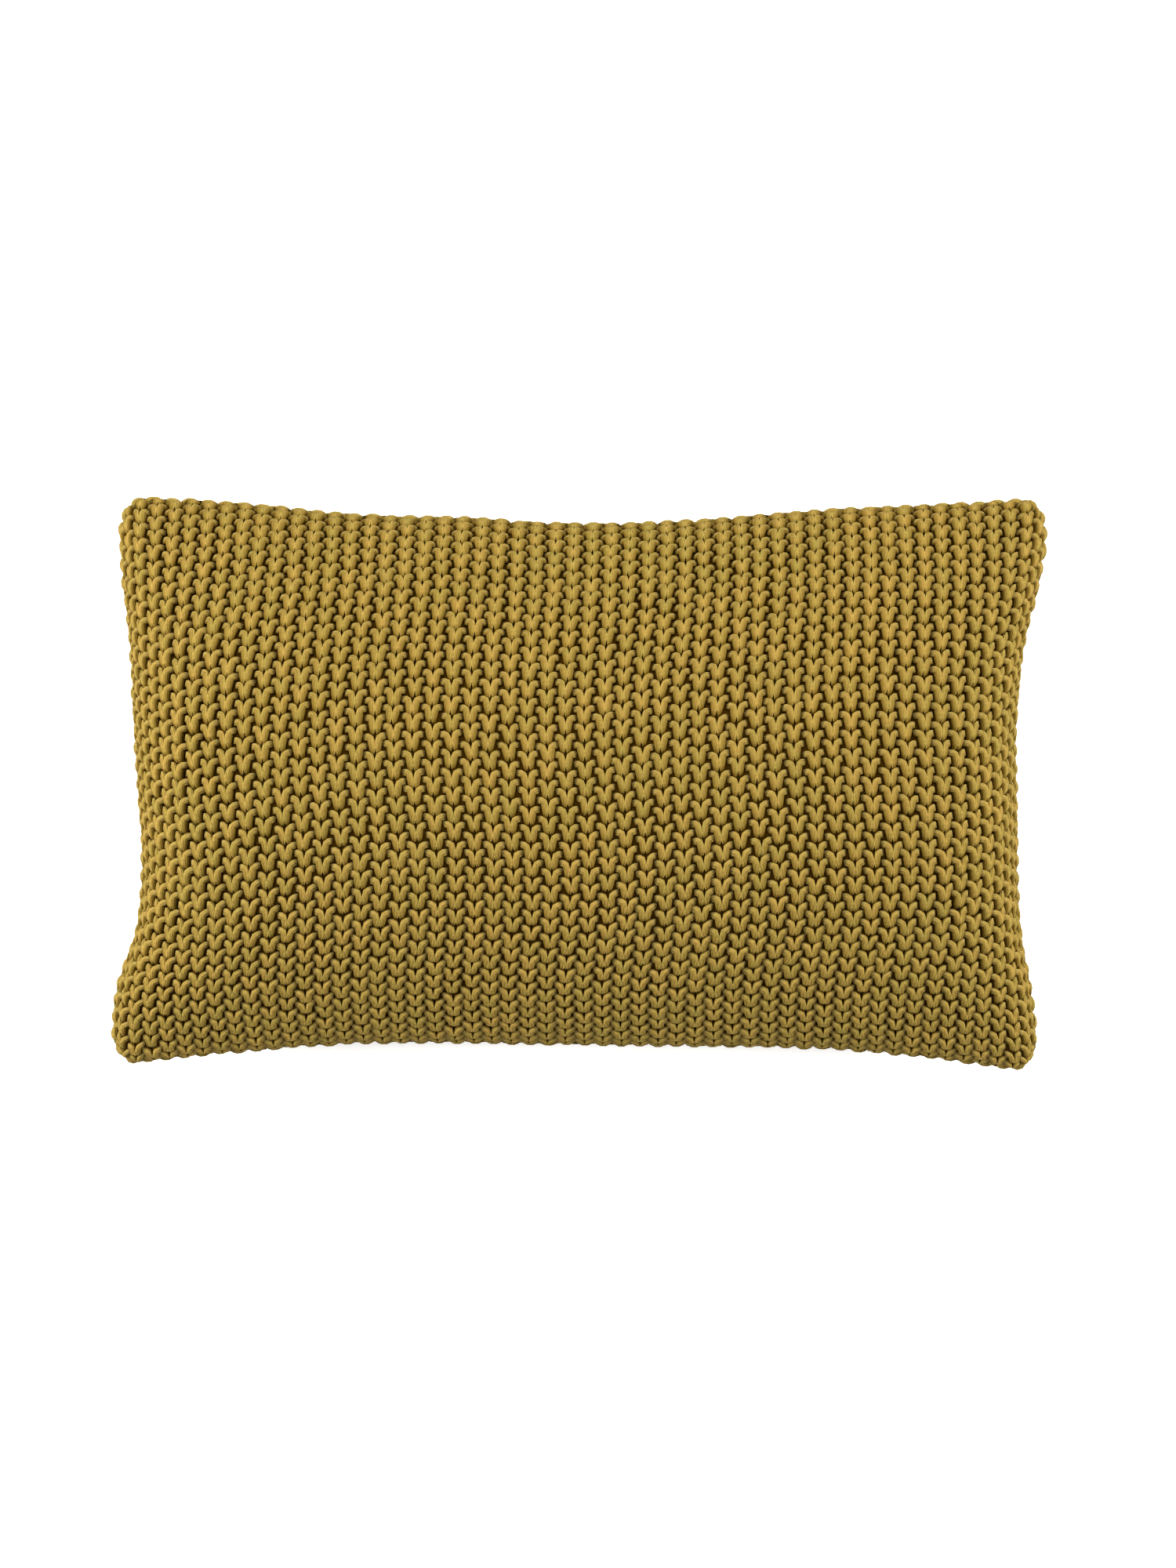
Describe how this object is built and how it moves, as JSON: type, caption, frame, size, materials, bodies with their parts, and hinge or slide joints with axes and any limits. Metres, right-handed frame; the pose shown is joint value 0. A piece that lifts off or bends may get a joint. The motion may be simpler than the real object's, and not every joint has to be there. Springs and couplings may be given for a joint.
{
  "type": "knitted cushion",
  "caption": "Oblong scatter cushion with a chunky knitted cover: a crowned face, a flatter back, drawn-in sides and soft turned corners.",
  "frame": {"origin": "on the surface that the back lies on, under the middle of the cushion's bounding box", "axes": "+X to the right along the length, +Y to the top edge of the face, +Z out of the face"},
  "size_m": [0.4936, 0.303, 0.136],
  "materials": {
    "knit": "matte chunky cotton knit, ochre"
  },
  "bodies": {
    "root": {"cushion": "knit"}
  },
  "joints": []
}
